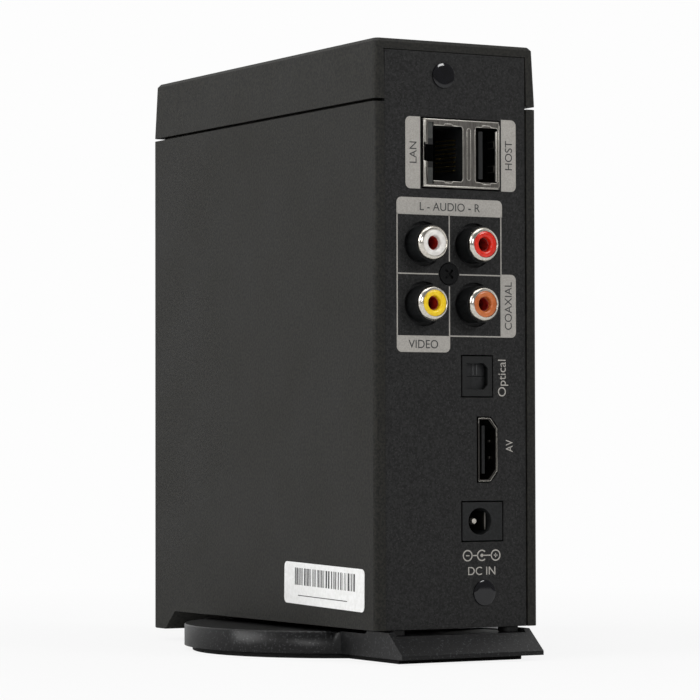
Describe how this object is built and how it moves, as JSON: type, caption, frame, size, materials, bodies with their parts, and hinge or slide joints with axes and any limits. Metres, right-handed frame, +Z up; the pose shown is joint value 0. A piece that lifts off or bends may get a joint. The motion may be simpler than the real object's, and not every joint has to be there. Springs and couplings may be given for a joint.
{
  "type": "media player",
  "caption": "Slim upright network media player on a low stand, with a rear connector panel and a top cap that lifts out a hard drive tray.",
  "frame": {"origin": "on the ground, in the middle of the footprint", "axes": "+Z up, +Y towards the rear connector panel, +X towards the side with the label"},
  "size_m": [0.078, 0.123, 0.1452],
  "materials": {
    "charcoal_shell": "fine textured matt charcoal",
    "panel_black": "fine textured matt black paint",
    "stand_black": "satin black with fine speckle",
    "black_plastic": "moulded black plastic",
    "gloss_black": "glossy black",
    "smoked_window": "dark smoked glossy plastic",
    "grey_plastic": "moulded dark grey plastic",
    "button_grey": "matt grey",
    "pale_plastic": "pale moulded plastic",
    "white_insert": "white moulded plastic",
    "red_insert": "red moulded plastic",
    "yellow_insert": "yellow moulded plastic",
    "orange_insert": "orange moulded plastic",
    "nickel": "satin nickel plate",
    "steel": "zinc plated sheet",
    "screw_steel": "bright screws",
    "black_screw": "blackened steel",
    "gold": "gold plated contact",
    "copper": "dark copper contact",
    "cast_aluminium": "die cast",
    "black_aluminium": "black anodised",
    "green_board": "green solder mask",
    "chip_black": "moulded epoxy",
    "capacitor_sleeve": "printed sleeve",
    "label_paper": "white sticker",
    "clear_lens": "clear epoxy",
    "light_window": "translucent light guide",
    "red_emitter": "red emitter",
    "rubber": "soft black rubber"
  },
  "bodies": {
    "player": {"main_shell": "charcoal_shell", "rear_panel": "panel_black", "chassis": "steel", "main_board": "green_board", "board_screws": "screw_steel", "processor": "chip_black", "heat_sink": "black_aluminium", "memory_chips": "chip_black", "board_capacitors": "capacitor_sleeve", "drive_cage": "black_plastic", "dock_board": "green_board", "dock_socket": "black_plastic", "dock_header": "black_plastic", "front_window": "smoked_window", "button_switch": "chip_black", "front_board": "green_board", "remote_receiver": "smoked_window", "status_light": "clear_lens", "port_shield": "nickel", "network_insert": "black_plastic", "network_contacts": "gold", "network_lights": "light_window", "host_port_core": "grey_plastic", "jack_housing": "black_plastic", "jack_barrels": "nickel", "jack_insert_white": "white_insert", "jack_insert_red": "red_insert", "jack_insert_yellow": "yellow_insert", "jack_insert_orange": "orange_insert", "jack_contacts": "copper", "optical_body": "grey_plastic", "optical_emitter": "red_emitter", "av_port_shield": "nickel", "av_port_core": "black_plastic", "power_jack_body": "black_plastic", "power_jack_pin": "nickel", "power_jack_spring": "nickel", "centre_screw": "black_screw", "end_screws": "screw_steel", "screw_covers": "gloss_black", "side_label": "label_paper", "stand": "stand_black", "stand_pad": "rubber", "stand_screw": "screw_steel", "shell_feet": "rubber"},
    "tray": {"top_cap": "charcoal_shell", "drive_tray": "steel", "hard_drive": "cast_aluminium", "drive_lid": "steel", "drive_board": "green_board", "drive_connector": "black_plastic", "tray_screws": "screw_steel", "cap_screws": "screw_steel"},
    "button": {"power_button": "button_grey", "switch_plunger": "pale_plastic"},
    "upper_flap": {"optical_flap_upper": "grey_plastic"},
    "lower_flap": {"optical_flap_lower": "grey_plastic"}
  },
  "joints": [
    {"name": "tray_slide", "type": "slide", "parent": "player", "child": "tray", "axis": [0, 0, 1], "range_m": [0, 0.112]},
    {"name": "button_press", "type": "slide", "parent": "player", "child": "button", "axis": [0, 1, 0], "range_m": [0, 0.0005], "stiffness_N_per_m": 2000, "springref_m": -0.0004},
    {"name": "upper_flap_swing", "type": "hinge", "parent": "player", "child": "upper_flap", "pos_m": [-0.0058, 0.05225, 0.0702], "axis": [1, 0, 0], "range_deg": [-80, 0], "stiffness_Nm_per_rad": 0.0004, "springref_deg": 17.19},
    {"name": "lower_flap_swing", "type": "hinge", "parent": "player", "child": "lower_flap", "pos_m": [-0.0058, 0.05225, 0.0632], "axis": [1, 0, 0], "range_deg": [0, 80], "stiffness_Nm_per_rad": 0.0004, "springref_deg": -17.19}
  ]
}
